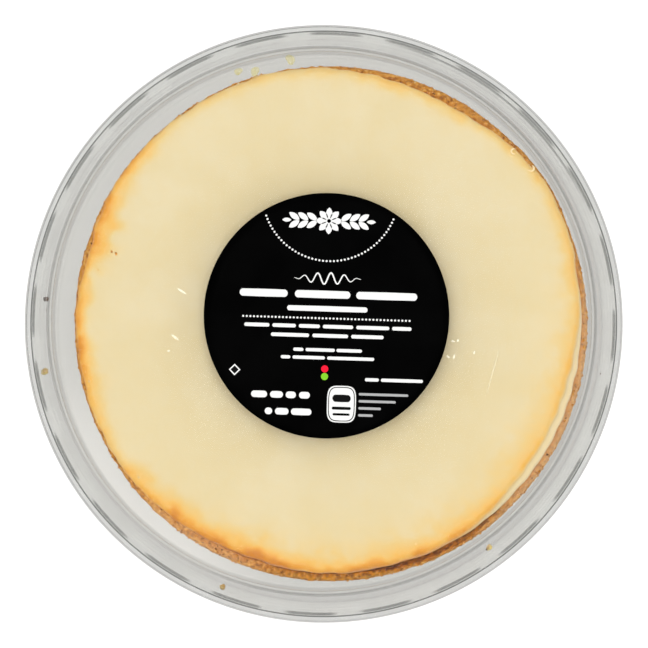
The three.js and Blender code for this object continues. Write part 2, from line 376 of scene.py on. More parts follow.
def capped(grid):
    """The points of a grid in one row, with the middle of its first row before them and
    the middle of its last row after them."""
    foot = grid[..., 0, :, :].mean(axis=-2)[..., None, :]
    head = grid[..., -1, :, :].mean(axis=-2)[..., None, :]
    flat = grid.reshape(*grid.shape[:-3], -1, grid.shape[-1])
    return np.concatenate([foot, flat, head], axis=-2)


def new_object(name, data):
    """Puts an object with this data in the scene."""
    thing = bpy.data.objects.new(name, data)
    bpy.context.scene.collection.objects.link(thing)
    return thing


def add_piece(name, grids, material, marks=None, smooth=True):
    """Makes a piece of the object from closed grids of points in millimetres, all of one
    size. Its marks, numbers at the points, are for its material."""
    points = capped(grids)
    first = points.shape[1] * np.arange(len(grids))[:, None, None]
    faces = []
    for part in closed_faces(*grids.shape[1:3]):
        faces += (first + part).reshape(-1, part.shape[1]).tolist()
    mesh = bpy.data.meshes.new(name)
    mesh.from_pydata((points.reshape(-1, 3) * MM).tolist(), [], faces)
    for label, values in (marks or {}).items():
        attribute = mesh.attributes.new(label, "FLOAT", "POINT")
        values = capped(np.broadcast_to(values, grids.shape[:3])[..., None])
        attribute.data.foreach_set("value", values.astype(np.float32).ravel())
    if smooth:
        mesh.shade_smooth()
    mesh.materials.append(material)
    piece = new_object(name, mesh)
    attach(piece, "root")
    return piece


# Node trees


def place(tree, kind, inputs=None, **settings):
    """Adds a node with its settings. An input takes a value or another node's output."""
    node = tree.nodes.new("ShaderNode" + kind)
    for label, value in settings.items():
        setattr(node, label, value)
    for socket, value in (inputs or {}).items():
        if isinstance(value, bpy.types.NodeSocket):
            tree.links.new(value, node.inputs[socket])
        else:
            node.inputs[socket].default_value = value
    return node


def maths(tree, operation, *values):
    """One step of arithmetic on one, two or three numbers."""
    return place(tree, "Math", dict(enumerate(values)), operation=operation).outputs[0]


def ranged(tree, value, low, high, to_low=0.0, to_high=1.0):
    """A number between low and high, brought smoothly between the other two."""
    inputs = {0: value, 1: low, 2: high, 3: to_low, 4: to_high}
    return place(tree, "MapRange", inputs, interpolation_type="SMOOTHSTEP").outputs[0]


def mixed(tree, share, first, second):
    """The first colour, going over to the second by the given share."""
    inputs = {0: share, 6: first, 7: second}
    return place(tree, "Mix", inputs, data_type="RGBA").outputs[2]


def ramp(tree, value, stops):
    """A colour by a number from 0 to 1, blended between stops of number and colour."""
    node = place(tree, "ValToRGB", {0: value})
    elements = node.color_ramp.elements
    while len(elements) < len(stops):
        elements.new(1.0)
    for element, (position, colour) in zip(elements, stops):
        element.position = position
        element.color = colour
    return node.outputs["Color"]


def mark(tree, label):
    """A number that the piece's vertices hold."""
    return place(tree, "Attribute", attribute_name=label).outputs["Fac"]


def lumps(tree, size, detail=3.0, roughness=0.5):
    """Fractal noise of the object's place, with lumps of the given size in millimetres."""
    inputs = {
        "Vector": place(tree, "TexCoord").outputs["Object"],
        "Scale": 1 / (size * MM),
        "Detail": detail,
        "Roughness": roughness,
    }
    return place(tree, "TexNoise", inputs).outputs["Fac"]


def grained(tree, size, coarse, strength, depth):
    """A shading normal with relief of the given depth in millimetres: lumps of the given
    size over a share of coarser ones, three times their size."""
    height = maths(tree, "MULTIPLY_ADD", lumps(tree, 3 * size), coarse, lumps(tree, size))
    inputs = {"Strength": strength, "Distance": depth * MM, "Height": height}
    return place(tree, "Bump", inputs).outputs["Normal"]


def mottled(tree, first, second, size, amount):
    """The first colour, going over to the second in soft patches of the given size in
    millimetres, by at most the given amount."""
    share = ranged(tree, lumps(tree, size), 0.38, 0.62, to_high=amount)
    return mixed(tree, share, first, second)


def new_material(name):
    """A material with nothing in it, and its tree."""
    material = bpy.data.materials.new(name)
    material.use_nodes = True
    material.node_tree.nodes.clear()
    return material, material.node_tree


def blended(tree, share, first, second):
    """Two shaders, with the second's share."""
    inputs = {0: share, 1: first.outputs[0], 2: second.outputs[0]}
    return place(tree, "MixShader", inputs)


def finish_material(tree, shader):
    """Makes this node's shader the material's surface."""
    place(tree, "OutputMaterial", {"Surface": shader.outputs[0]})


def finish_solid(material, inputs):
    """Makes a Principled shader with these inputs the material's surface."""
    tree = material.node_tree
    finish_material(tree, place(tree, "BsdfPrincipled", inputs))
    return material


def make_clear_plastic(name, tint, steep, haze):
    """Clear sheet: see-through with a slight tint and haze, darker where it is steep, grey with
    painted shade where its bend shade mark is high, and more of a mirror the more it is
    seen edge on."""
    material, tree = new_material(name)
    normal = grained(tree, size=9.0, coarse=1.0, strength=0.04, depth=0.25)
    facing = place(tree, "LayerWeight", {"Blend": 0.5, "Normal": normal}).outputs["Facing"]
    edge_on = maths(tree, "POWER", facing, 5.0)
    mirrored = maths(tree, "MULTIPLY_ADD", edge_on, MIRROR_MOST, MIRROR_LEAST)
    sloped = mixed(tree, facing, tint, steep)
    # Painted shade: the see-through colour turns grey where the bend shade mark is high, in place
    # of the dark lines that bends make
    colour = mixed(tree, mark(tree, "painted_bend_shade"), sloped, tone(194, 195, 194))
    see_through = place(tree, "BsdfTransparent", {"Color": colour})
    inputs = {"Base Color": tone(222, 222, 220), "Roughness": 0.5, "Normal": normal}
    cloud = place(tree, "BsdfPrincipled", inputs)
    inputs = {"Color": (1, 1, 1, 1), "Roughness": 0.08, "Normal": normal}
    mirror = place(tree, "BsdfGlossy", inputs)
    sheet = blended(tree, haze, see_through, cloud)
    finish_material(tree, blended(tree, mirrored, sheet, mirror))
    return material


def make_baked_filling():
    """Pale baked custard, golden to brown where it is browned, and paler down its side, partly a
    painted highlight.
    """
    material, tree = new_material("baked_filling")
    uneven = maths(tree, "MULTIPLY_ADD", lumps(tree, 5.0, 4.0, 0.6), 1.6, 0.2)
    browned = maths(tree, "MULTIPLY", mark(tree, "browned"), uneven)
    stops = [
        (0.0, tone(229, 206, 150)),
        (0.25, tone(231, 197, 126)),
        (0.5, tone(237, 183, 88)),
        (0.75, tone(231, 158, 50)),
        (1.0, tone(208, 128, 30)),
    ]
    cream = mottled(tree, tone(227, 211, 171), tone(223, 204, 156), size=26.0, amount=0.6)
    fine = mottled(tree, cream, tone(218, 188, 122), size=2.4, amount=0.1)
    colour = mixed(tree, ranged(tree, browned, 0.0, 0.3), fine, ramp(tree, browned, stops))
    inputs = {
        # The side's pale colour is brighter than the cream: partly the unbrowned side's own and
        # partly a painted highlight
        "Base Color": mixed(tree, mark(tree, "side"), colour, tone(255, 230, 178)),
        "Roughness": ranged(tree, lumps(tree, 6.0), 0.3, 0.7, 0.42, 0.58),
        "Specular IOR Level": 0.25,
        "Normal": grained(tree, size=1.6, coarse=1.5, strength=0.08, depth=0.12),
    }
    return finish_solid(material, inputs)


def make_crumb_crust():
    """Pressed crumbs: tan to brown grains with dark specks, paler and darker by its marks."""
    material, tree = new_material("crumb_crust")
    grains = lumps(tree, 1.1, 4.0, 0.65)
    stops = [
        (0.34, tone(132, 76, 14)),
        (0.45, tone(200, 128, 40)),
        (0.56, tone(234, 168, 70)),
        (0.68, tone(255, 214, 124)),
    ]
    crumbs = mottled(tree, ramp(tree, grains, stops), tone(214, 148, 58), size=5.0, amount=0.4)
    pale_share = maths(tree, "MULTIPLY", mark(tree, "pale"), 0.5)
    pale = mixed(tree, pale_share, crumbs, tone(250, 206, 164))
    dark = mottled(tree, tone(222, 148, 10), tone(128, 78, 0), size=1.5, amount=1.0)
    baked = mixed(tree, mark(tree, "dark"), pale, dark)
    specks = ranged(tree, lumps(tree, 0.9, 2.0, 0.5), 0.64, 0.7)
    colour = mixed(tree, specks, baked, tone(92, 50, 18))
    inputs = {
        "Base Color": colour,
        "Roughness": 0.85,
        "Specular IOR Level": 0.15,
        "Normal": grained(tree, size=0.5, coarse=1.0, strength=0.8, depth=0.25),
    }
    return finish_solid(material, inputs)


def make_label_paper():
    """Black coated paper, slightly wavy."""
    material, tree = new_material("black_label")
    inputs = {
        "Base Color": mottled(tree, tone(1, 1, 1), tone(3, 3, 3), size=14.0, amount=0.5),
        "Roughness": ranged(tree, lumps(tree, 8.0), 0.3, 0.7, 0.22, 0.34),
        "Specular IOR Level": 0.003,
        "Normal": grained(tree, size=7.0, coarse=1.0, strength=0.3, depth=0.5),
    }
    return finish_solid(material, inputs)


def make_film(name, colour, cover):
    """A thin smear or scuff that hides what is behind it in part, more in some places. A
    white scuff is partly a painted glint.
    """
    material, tree = new_material(name)
    share = ranged(tree, lumps(tree, 0.8), 0.3, 0.7, 0.5 * cover, cover)
    film = place(tree, "BsdfPrincipled", {"Base Color": colour, "Roughness": 0.5})
    finish_material(tree, blended(tree, share, place(tree, "BsdfTransparent"), film))
    return material


def make_speckled(name, colour, patches, size, amount, **inputs):
    """A little shiny, and of one colour with soft patches of another."""
    material, tree = new_material(name)
    base = mottled(tree, colour, patches, size, amount)
    return finish_solid(material, {"Base Color": base, "Roughness": 0.4, **inputs})


def make_ink(name, colour):
    """Flat print, a little uneven."""
    darker = tuple(0.85 * value for value in colour[:3]) + (1.0,)
    dull = {"Specular IOR Level": 0.02}
    return make_speckled(name, colour, darker, size=1.2, amount=0.3, **dull)


# Clear pack


def places_between(steps):
    """Places along a run of keys, counted in keys: from each key to the next in its own
    number of even steps."""
    parts = [i + np.arange(count) / count for i, count in enumerate(steps)]
    return np.concatenate([*parts, [len(steps)]])


def rounded_path(corners):
    """Radius, height, heading and bend shade along a run of corners, each with its radius,
    height, rounding and bend shade, the painted shade of the sheet at that bend. A corner
    becomes the arc of its rounding that touches both runs. The bend shade is the corner's
    own half way round, falls off as a sine to both ends, and is 0 on straight runs, which
    have no step over the longest."""
    headings = [
        math.atan2(after[1] - here[1], after[0] - here[0])
        for here, after in zip(corners, corners[1:])
    ]
    rows = [(*corners[0][:2], headings[0], corners[0][3])]
    for (r, z, rounding, bend_shade), come, go in zip(corners[1:-1], headings, headings[1:]):
        turn = math.remainder(go - come, TURN)
        side = math.copysign(rounding, turn)
        reach = rounding * math.tan(abs(turn) / 2)
        middle_r = r - reach * math.cos(come) - side * math.sin(come)
        middle_z = z - reach * math.sin(come) + side * math.cos(come)
        for share in np.linspace(0, 1, ARC_STEPS + 1) if rounding else [0.5]:
            now = come + turn * share
            point = middle_r + side * math.sin(now), middle_z - side * math.cos(now)
            rows.append((*point, now, bend_shade * math.sin(math.pi * share)))
    rows.append((*corners[-1][:2], headings[-1], corners[-1][3]))
    rows = np.array(rows)
    lengths = np.hypot(*np.diff(rows[:, :2], axis=0).T)
    at = places_between(np.maximum(np.ceil(lengths / LONGEST_STEP), 1).astype(int))
    return np.stack([np.interp(at, np.arange(len(rows)), column) for column in rows.T])


def sheet_profile(corners, thickness):
    """A closed section of an even sheet: the rounded path and the same path moved to the
    left of its heading by the thickness, which may be negative. Runs so that the turned
    surface faces outwards. Gives radius, height and painted bend shade, without the points
    on the axis."""
    r, z, heading, bend_shade = rounded_path(corners)
    there = np.stack([r, z, bend_shade])
    beside = np.stack([r - thickness * np.sin(heading), z + thickness * np.cos(heading), bend_shade])
    below, above = (there, beside) if thickness > 0 else (beside, there)
    return np.concatenate([below, above[:, ::-1]], axis=1)[:, 1:-1]


def make_tray(material):
    """The tray: a floor that stands on its middle and a ring foot, a drafted wall and a
    flat flange with a thin trimmed edge."""
    under = FLANGE_TOP - PLASTIC
    rise = FLOOR_TOP - PLASTIC
    # Radius, height, rounding and painted bend shade of each corner
    corners = [
        (0, 0, 0, 0),
        (BUTTON_RADIUS, 0, SHEET_ROUND, 0.3),
        (BUTTON_RADIUS + rise, rise, SHEET_ROUND, 0.3),
        (FOOT_INNER - rise, rise, SHEET_ROUND, 0.3),
        (FOOT_INNER, 0, SHEET_ROUND, 0.3),
        (TRAY_WALL_FOOT, 0, TRAY_FOOT_ROUND, 0.15),
        (TRAY_WALL_TOP, under, SHEET_ROUND, 0.2),
        (FLANGE_RADIUS - TRIM - TRIM_BLEND, under, 0, 0.0),
        (FLANGE_RADIUS - TRIM, under, 0, 1.0),
        (FLANGE_RADIUS, under, 0, 1.0),
    ]
    radius, height, bend_shade = sheet_profile(corners, PLASTIC)
    grid = turned_grid(radius[:, None], height[:, None], TRAY_COLUMNS)
    # Painted shade: the ring foot is grey for the cake's shadow seen through it, and the shade is
    # lifted where the painted pool of light falls, except on the trimmed edge
    clear = 1 - humps(LIGHT_POOL_PLACE, angles(TRAY_COLUMNS))
    is_foot = (radius > FOOT_INNER) & (radius < TRAY_WALL_FOOT - 0.2) & (height < 1)
    is_trim = (radius > FLANGE_RADIUS - TRIM - TRIM_BLEND / 2)[:, None]
    painted_bend_shade = np.maximum(bend_shade, FOOT_SHADE * is_foot)[:, None] * np.maximum(clear, is_trim)
    piece = add_piece("tray_sheet", grid[None], material, {"painted_bend_shade": painted_bend_shade})
    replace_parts(piece, "tray")


def make_lid(material):
    """The lid: a sunk panel in a raised ring, a drafted wall and a rim with the snap bead
    inside its turned-down lip. The bead is a raised cosine of the radius, and sinks to
    nothing at each lug."""
    bead_rows = [
        (BEAD_RADIUS + share * BEAD_HALF_WIDTH, RIM_TOP, 0, 0.0)
        for share in np.linspace(-1, 1, BEAD_ROWS)
    ]
    # Radius, height, rounding and painted bend shade of each corner
    corners = [
        (0, PANEL_TOP, 0, 0),
        (RING_INNER, PANEL_TOP, 0.6, 0.15),
        (RING_INNER + RING_SLOPE, PACK_HEIGHT, 0.3, 0.1),
        (SHOULDER_RADIUS, PACK_HEIGHT, SHOULDER_ROUND, 0.5),
        (WALL_FOOT_RADIUS, RIM_TOP, 0.3, 0.3),
        *bead_rows,
        (PACK_RADIUS, RIM_TOP, LIP_CORNER, 0.5),
        (PACK_RADIUS, LIP_FOOT, 0, 0.6),
    ]
    radius, height, bend_shade = sheet_profile(corners, -PLASTIC)
    columns = LUG_COUNT * COLUMNS_PER_LUG
    pitch = TURN / LUG_COUNT
    from_lug = np.abs((angles(columns) - FIRST_LUG + pitch / 2) % pitch - pitch / 2)
    is_bead = smooth_step(from_lug, LUG_HALF - LUG_SOFTNESS, LUG_HALF + LUG_SOFTNESS)
    across = np.clip(np.abs(radius - BEAD_RADIUS) / BEAD_HALF_WIDTH, 0, 1)
    is_rim = (height > RIM_TOP - 2 * PLASTIC) & (height < RIM_TOP + PLASTIC)
    raised = is_rim * (1 + np.cos(math.pi * across)) / 2
    bead = raised[:, None] * is_bead
    grid = turned_grid(radius[:, None], height[:, None] + BEAD_HEIGHT * bead, columns)
    # Painted shade: grey over the flat rim and lip, a dark line along part of the wall's foot and
    # dark arcs on the snap bead; the bends' shade is lifted where the painted pool of light falls
    rim_shade = RIM_SHADE * smooth_step(radius, WALL_FOOT_RADIUS - 0.4, WALL_FOOT_RADIUS + 0.4)
    lip_shade = LIP_SHADE * smooth_step(radius, FLANGE_RADIUS - 0.6, FLANGE_RADIUS + 0.3)
    clear = 1 - humps(LIGHT_POOL_PLACE, angles(columns))
    rim = np.maximum(rim_shade, lip_shade)[:, None]
    is_foot = (np.abs(radius - WALL_FOOT_RADIUS) < 0.3)[:, None]
    foot_line_shade = 1 + is_foot * humps(FOOT_LINE_SHADE, angles(columns), power=6)
    painted_bend_shade = np.maximum(bend_shade[:, None] * np.maximum(clear, rim > 0), rim)
    painted_bend_shade = np.minimum(np.maximum(painted_bend_shade * foot_line_shade, 0.95 * bead**0.3), 1)
    piece = add_piece("lid_sheet", grid[None], material, {"painted_bend_shade": painted_bend_shade})
    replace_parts(piece, "lid")


def make_label(material):
    """The label: a thin disc with a slightly rounded rim."""
    thickness = LABEL_TOP - LABEL_FOOT
    lift = np.array([0, 0, 0, 0.3, 0.8, 1, 1, 1, 1, 1]) * thickness + LABEL_FOOT
    inset = np.array([24, 6, 0.1, 0, 0, 0.1, 3, 9, 18, 30])
    radius = LABEL_RADIUS - inset
    grid = turned_grid(radius[:, None], lift[:, None], LABEL_COLUMNS, LABEL_CENTRE)
    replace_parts(add_piece("label_disc", grid[None], material), "label")


# Cake


def filling_reach(angle):
    """How far the filling's foot reaches from the cake's middle."""
    wander = ripple(11, 2, 9, OUTLINE_WANDER, angle) + ripple(19, 24, 70, RAGGED, angle)
    swells = humps(SWELLS, angle) + humps(BULGES, angle, power=6)
    return FILLING_RADIUS + wander + swells - humps(DENTS, angle, power=2)


def make_filling(material):
    """The filling: a disc with a rounded upper edge, a side that leans in at one place and
    a slightly sunken top. Each row of the profile is scaled to the reach in a direction,
    and the surface gets noise of a few tenths of a millimetre."""
    brow = FILLING_RADIUS - FILLING_TAPER
    flat = brow - EDGE_ROUND
    foot = CRUST_FLOOR - 0.1
    side_foot = CRUST_FLOOR + CRUST_RIM + FOOT_ROUND
    side_head = CAKE_HEAD - EDGE_ROUND
    side = np.linspace(0, 1, SIDE_ROWS)
    turn = np.linspace(0, TURN / 4, BROW_ROWS)[1:]
    top = flat * (1 - np.linspace(0, 1, TOP_ROWS)[1:-1] ** 1.15)
    radius = np.concatenate([
        [30, 60, FILLING_RADIUS - FOOT_ROUND, FILLING_RADIUS],
        FILLING_RADIUS - FILLING_TAPER * side,
        flat + EDGE_ROUND * np.cos(turn),
        top,
    ])[:, None]
    height = np.concatenate([
        [foot, foot, foot, foot + FOOT_ROUND],
        side_foot + (side_head - side_foot) * side,
        side_head + EDGE_ROUND * np.sin(turn),
        CAKE_HEAD - TOP_SAG * (1 - (top / flat) ** 2),
    ])[:, None]
    angle = angles(FILLING_COLUMNS)
    up_side = np.clip((height - side_foot) / (side_head - side_foot), 0, 1)
    lean = humps(LEANS, angle) * smooth_step(up_side, LEAN_FROM, 1.0)
    reach = filling_reach(angle) - FILLING_RADIUS - lean
    r = radius * (1 + reach / FILLING_RADIUS)
    is_top = np.clip((height - side_head) / EDGE_ROUND, 0, 1)
    z = height + is_top * ripple(37, 1, 5, TOP_WANDER, angle) * radius / brow
    grid = turned_grid(r, z, FILLING_COLUMNS)
    is_side = (radius > flat) * up_side * (1 - is_top)
    push = 1 + is_side * layered_noise(grid, SIDE_LUMPS) / FILLING_RADIUS
    swell = layered_noise(grid, TOP_LUMPS)
    grid[..., :2] *= push[..., None]
    grid[..., 2] += is_top * swell
    inset = brow * (1 + reach / FILLING_RADIUS) - r
    marks = filling_marks(grid, angle, inset, up_side)
    grid[..., :2] += CAKE_CENTRE
    piece = add_piece("filling_baked", grid[None], material, marks)
    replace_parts(piece, "filling")


def filling_marks(grid, angle, inset, up_side):
    """How browned the filling is, and how pale its side. It is most browned at the rounded
    edge and less with each millimetre in from it and down its side, over a width that
    wanders with noise. Its side is pale up to less height where it is browned, and up to
    the rounded edge where it leans in. That pale colour is partly the unbrowned side's own
    and partly a painted highlight, most of all at the leaning brow."""
    strength = BAKED_LEAST + humps(BAKED_MORE, angle)
    baked = np.clip(strength, 0, 1)
    baked_side = humps(BAKED_SIDE, angle, power=6)
    leaning = humps(UNBROWNED_BROW_AND_HIGHLIGHT, angle)
    over_brow = 0.55 * smooth_step(up_side, 0.84, 1.0) + 0.45 * smooth_step(inset, -0.3, 0.9)
    pale_brow_and_highlight = leaning * (1 - over_brow)
    wander = layered_noise(grid, BROWN_LUMPS)
    width = BROWN_WIDTH + BROWN_WIDER * strength * (1 + 1.5 * wander)
    inside = np.maximum(inset, 0)
    edge = np.exp(-((inside / np.maximum(width, 0.8)) ** 1.8))
    faint = (GLOW_LEAST + humps(GLOW, angle)) * np.exp(-inside / GLOW_REACH)
    browned = (strength + 0.08) * edge * (1 + 0.3 * wander) + faint
    down_side = smooth_step(up_side, 0.6 - 0.5 * baked + 0.35 * leaning, 1.0)
    down_side = np.maximum(down_side, baked_side)
    plain = 1 - smooth_step(up_side, 0.45 - 0.4 * baked, 0.95 - 0.5 * baked)
    return {
        "browned": browned * down_side * (1 - pale_brow_and_highlight),
        "side": np.maximum(plain * (1 - baked_side), pale_brow_and_highlight),
    }


def crust_grid():
    """The crust's dish from foot to inner floor, where it shows, and its marks. Key rows are
    joined by softened straight runs, and moved out and up by noise in three sizes of crumb.
    Its outer side was pressed in a tin, so there the noise moves it in more than out."""
    angle = angles(CRUST_COLUMNS)
    outer = CRUST_RADIUS + ripple(11, 2, 9, OUTLINE_WANDER, angle) / 2 + humps(SWELLS, angle)
    inner = filling_reach(angle) - CRUST_PLAY
    rim = CRUST_FLOOR + CRUST_RIM + humps(CLIMBS, angle, power=2)
    brim = np.minimum(inner + humps(GROOVES, angle), outer - CRUST_RIM_LEAST)
    key_rows = [  # radius, height and rows up to the next
        (outer - 3, CAKE_FOOT, 3),
        (outer - 1.0, CAKE_FOOT, 4),
        (outer - 0.2, CAKE_FOOT + 1, 5),
        (outer, CAKE_FOOT + 2.8, 16),
        (outer - 0.25, rim - 0.7, 4),
        (outer * 0.6 + brim * 0.4, rim, 5),
        (brim, rim - 0.2, 10),
        (inner, CRUST_FLOOR, 3),
        (inner - 6, CRUST_FLOOR, 0),
    ]
    at = places_between([row[2] for row in key_rows[:-1]])
    low = np.minimum(at.astype(int), len(key_rows) - 2)
    share = (at - low)[:, None]
    section = []
    for column in range(2):
        keys = np.stack([row[column] + 0 * angle for row in key_rows])
        rows = keys[low] * (1 - share) + keys[low + 1] * share
        for _ in range(2):
            rows[1:-1] = (rows[:-2] + 2 * rows[1:-1] + rows[2:]) / 4
        section.append(rows)
    grid = turned_grid(*section, CRUST_COLUMNS)
    out = np.gradient(section[1], axis=0), -np.gradient(section[0], axis=0)
    length = np.hypot(*out) + 1e-6
    shown = smooth_step(grid[..., 2], CAKE_FOOT + 0.2, CAKE_FOOT + 1.2)
    shown[low >= len(key_rows) - 3] = 0
    most_out = np.where(low < PRESSED_ROWS, PRESSED_CRUMB, LOOSE_CRUMB)[:, None]
    push = np.minimum(layered_noise(grid, CRUST_LUMPS), most_out) * shown
    angle_out = np.stack([np.cos(angle), np.sin(angle)], -1)
    grid[..., :2] += (push * out[0] / length)[..., None] * angle_out
    grid[..., 2] += push * out[1] / length
    grid[..., :2] += CAKE_CENTRE
    across = (section[0] - inner) / (outer - inner) + 0.25 * value_noise(grid, 2.0, 14)
    beside = humps(DARK_CRUST, angle) * (1 - smooth_step(across, 0.55, 0.85))
    marks = {"pale": humps(PALE_CRUST, angle), "dark": beside + humps(BAKED_CRUST, angle)}
    return grid, shown, marks


def lumpy_balls(centres, sizes, seed):
    """Small uneven balls: rings of points on a sphere, each point's reach drawn from 0.7 to
    1.2, squashed by a drawn amount along each axis and turned by a drawn rotation."""
    rng = np.random.default_rng(seed)
    count = len(centres)
    up = np.linspace(-0.85, 0.85, 4)[:, None]
    around = angles(6)
    wide = np.sqrt(1 - up**2)
    ball = np.stack([wide * np.cos(around), wide * np.sin(around), up + 0 * around], -1)
    points = ball * rng.uniform(0.7, 1.2, (count, 4, 6, 1))
    points = points * rng.uniform(0.55, 1.0, (count, 1, 1, 3))
    turns, _ = np.linalg.qr(rng.normal(size=(count, 3, 3)))
    turns *= np.sign(np.linalg.det(turns))[:, None, None]
    points = np.einsum("krcj,kij->krci", points, turns)
    return centres[:, None, None] + points * sizes[:, None, None, None]


def make_crust(material):
    """The crust, a shallow dish of pressed crumbs, with loose crumbs stuck to it at drawn
    places on what shows of it."""
    grid, shown, marks = crust_grid()
    piece = add_piece("crust_dish", grid[None], material, marks)
    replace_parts(piece, "crust")
    rng = np.random.default_rng(41)
    places = grid[shown > 0.5]
    centres = places[rng.integers(0, len(places), CRUMB_COUNT)]
    sizes = 0.2 + 0.34 * rng.random(CRUMB_COUNT) ** 3
    add_piece("crust_crumbs", lumpy_balls(centres, sizes, 42), material)


def curls(places, reach=0.8, thickness=0.28, sweep=240 * DEGREE, rows=14, columns=8):
    """Curled shreds on the top: tubes that follow an arc of the given reach and sweep and
    rise along it, thinner towards both ends by the square root of a parabola."""
    share = np.linspace(0, 1, rows)
    turn = np.array([direction for _, _, direction in places])[:, None] * DEGREE + sweep * share
    line = np.stack([reach * np.cos(turn), reach * np.sin(turn), 0.3 + 0.5 * share + 0 * turn], -1)
    line[..., :2] += np.array(places)[:, None, :2]
    line[..., 2] += CAKE_HEAD
    way = np.gradient(line, axis=1)
    way /= np.linalg.norm(way, axis=-1, keepdims=True)
    beside = np.cross(way, [0, 0, 1])
    beside /= np.linalg.norm(beside, axis=-1, keepdims=True)
    over = np.cross(way, beside)
    thin = thickness * np.sqrt(np.maximum(1 - (2 * share - 1) ** 2, 0.05))[None, :, None, None]
    around = angles(columns)[:, None]
    ring = np.cos(around) * beside[:, :, None] + np.sin(around) * over[:, :, None]
    return line[:, :, None] + thin * ring


def make_small_things(crumb_material, cream_material):
    """Crumbs on the tray's flange and on the cake, flecks and curls of filling, smears
    under the lid's panel, and scuffs on it whose white is partly painted glints."""
    tones = tone(255, 228, 110), tone(206, 150, 56)
    yellow_crumb = make_speckled("yellow_crumb", *tones, size=0.9, amount=0.8)
    tones = tone(104, 66, 22), tone(66, 40, 12)
    brown_crumb = make_speckled("brown_crumb", *tones, size=0.9, amount=0.8)
    for name, places, level, seed, material, slot in [
        ("fatty_crumbs", FATTY_CRUMBS, FLANGE_TOP, 51, yellow_crumb, "cheese_filling"),
        ("dark_crumbs", DARK_CRUMBS, FLANGE_TOP, 52, brown_crumb, "crumb_crust"),
        ("top_crumbs", TOP_CRUMBS, CAKE_HEAD - 0.35, 53, crumb_material, "crumb_crust"),
        ("cream_flecks", CREAM_FLECKS, CAKE_HEAD - 0.2, 54, cream_material, "cheese_filling"),
    ]:
        table = np.array(places)
        sizes = table[:, 2]
        centres = np.column_stack([table[:, :2], level + 0.4 * sizes])
        add_piece(name, lumpy_balls(centres, sizes, seed), material)
    # The curls take the side's pale colour, which is partly a painted highlight
    add_piece("cream_curls", curls(CREAM_CURLS), cream_material, {"side": 1})
    smears = np.array(SMEARS)
    around = angles(24)
    wavy = 1 + 0.16 * np.sin(2 * around + smears[:, :1]) + 0.1 * np.sin(3 * around)
    outlines = dots(smears[:, :2], smears[:, 2:] * wavy, 24)
    shapes = prisms(*outlines, PANEL_FOOT - 0.1, PANEL_FOOT + FILM_SINK)
    yellow = make_film("yellow_film", tone(206, 194, 104), SMEAR_COVER)
    add_piece("smears", shapes, yellow, smooth=False)
    for name, places, cover in [
        ("scuff_glints", SCUFF_GLINTS, SCUFF_GLINT_COVER),
        ("faint_scuff_glints", FAINT_SCUFF_GLINTS, FAINT_COVER),
    ]:
        table = np.array(places)
        outlines = leaves(table[:, :2], table[:, 2] * DEGREE, table[:, 3:4], table[:, 4:])
        shapes = prisms(*outlines, PANEL_TOP - FILM_SINK, PANEL_TOP + 0.04)
        # White film, partly painted glints on the panel
        white = make_film(name + "_film", tone(255, 250, 226), cover)
        add_piece(name, shapes, white, smooth=False)


# Label print


def prisms(x, y, low, high):
    """Closed prisms between two heights from outlines that go round their middles: x[k] and
    y[k] hold the k-th outline."""
    shape = (len(x), 2, x.shape[1])
    corners = x[:, None], y[:, None], np.array([low, high])[:, None]
    return np.stack([np.broadcast_to(values, shape) for values in corners], axis=-1)


def on_label(x, y):
    """Places on the label, measured from its middle before the print's small turn."""
    turned = (np.asarray(x) + 1j * np.asarray(y)) * np.exp(1j * PRINT_TURN)
    return turned.real + LABEL_CENTRE[0], turned.imag + LABEL_CENTRE[1]


def flat_shapes(x, y, layer=0):
    """Thin prisms of ink on the label. A higher layer lies over the ones before it."""
    top = LABEL_TOP + PRINT_HEIGHT + layer * INK_STEP
    return prisms(*on_label(x, y), LABEL_TOP - 0.01, top)


def placed(places, outline):
    """Outlines moved to their places, as x and y. An outline's points are given as x + yi."""
    places = np.asarray(places, float)
    return places[:, :1] + outline.real, places[:, 1:] + outline.imag


def bars(places, lengths, thickness, columns=20):
    """Outlines of flat bars with half-round ends: a circle pulled apart along x."""
    circle = np.exp(1j * angles(columns))
    straight = (np.array(lengths)[:, None] - thickness) / 2
    return placed(places, straight * np.sign(circle.real.round(6)) + thickness / 2 * circle)


def dots(places, radius, columns=10):
    """Outlines of round dots."""
    return placed(places, radius * np.exp(1j * angles(columns)))


def leaves(places, directions, length, width, columns=20):
    """Outlines of pointed ovals: the cosine along the leaf, and across it the sine times
    its own size, which comes to a point at both ends."""
    around = angles(columns)
    along = length / 2 * np.cos(around)
    across = width / 2 * np.sin(around) * np.abs(np.sin(around)) ** 0.6
    return placed(places, (along + 1j * across) * np.exp(1j * np.array(directions))[:, None])


def rounded_box(centre, half_width, half_height, columns=40):
    """Outline of a box with bowed sides: a superellipse of the fourth power."""
    cos, sin = np.cos(angles(columns)), np.sin(angles(columns))
    x = half_width * np.sign(cos) * np.abs(cos) ** 0.5
    y = half_height * np.sign(sin) * np.abs(sin) ** 0.5
    return placed([centre], x + 1j * y)


def word_bars():
    """Rows of bars where the lines of print are."""
    grids = []
    for level, row_height, words in WORD_ROWS:
        places = [(middle, level) for middle, _ in words]
        lengths = [length for _, length in words]
        grids.append(flat_shapes(*bars(places, lengths, BAR_SHARE * row_height)))
    return np.concatenate(grids)


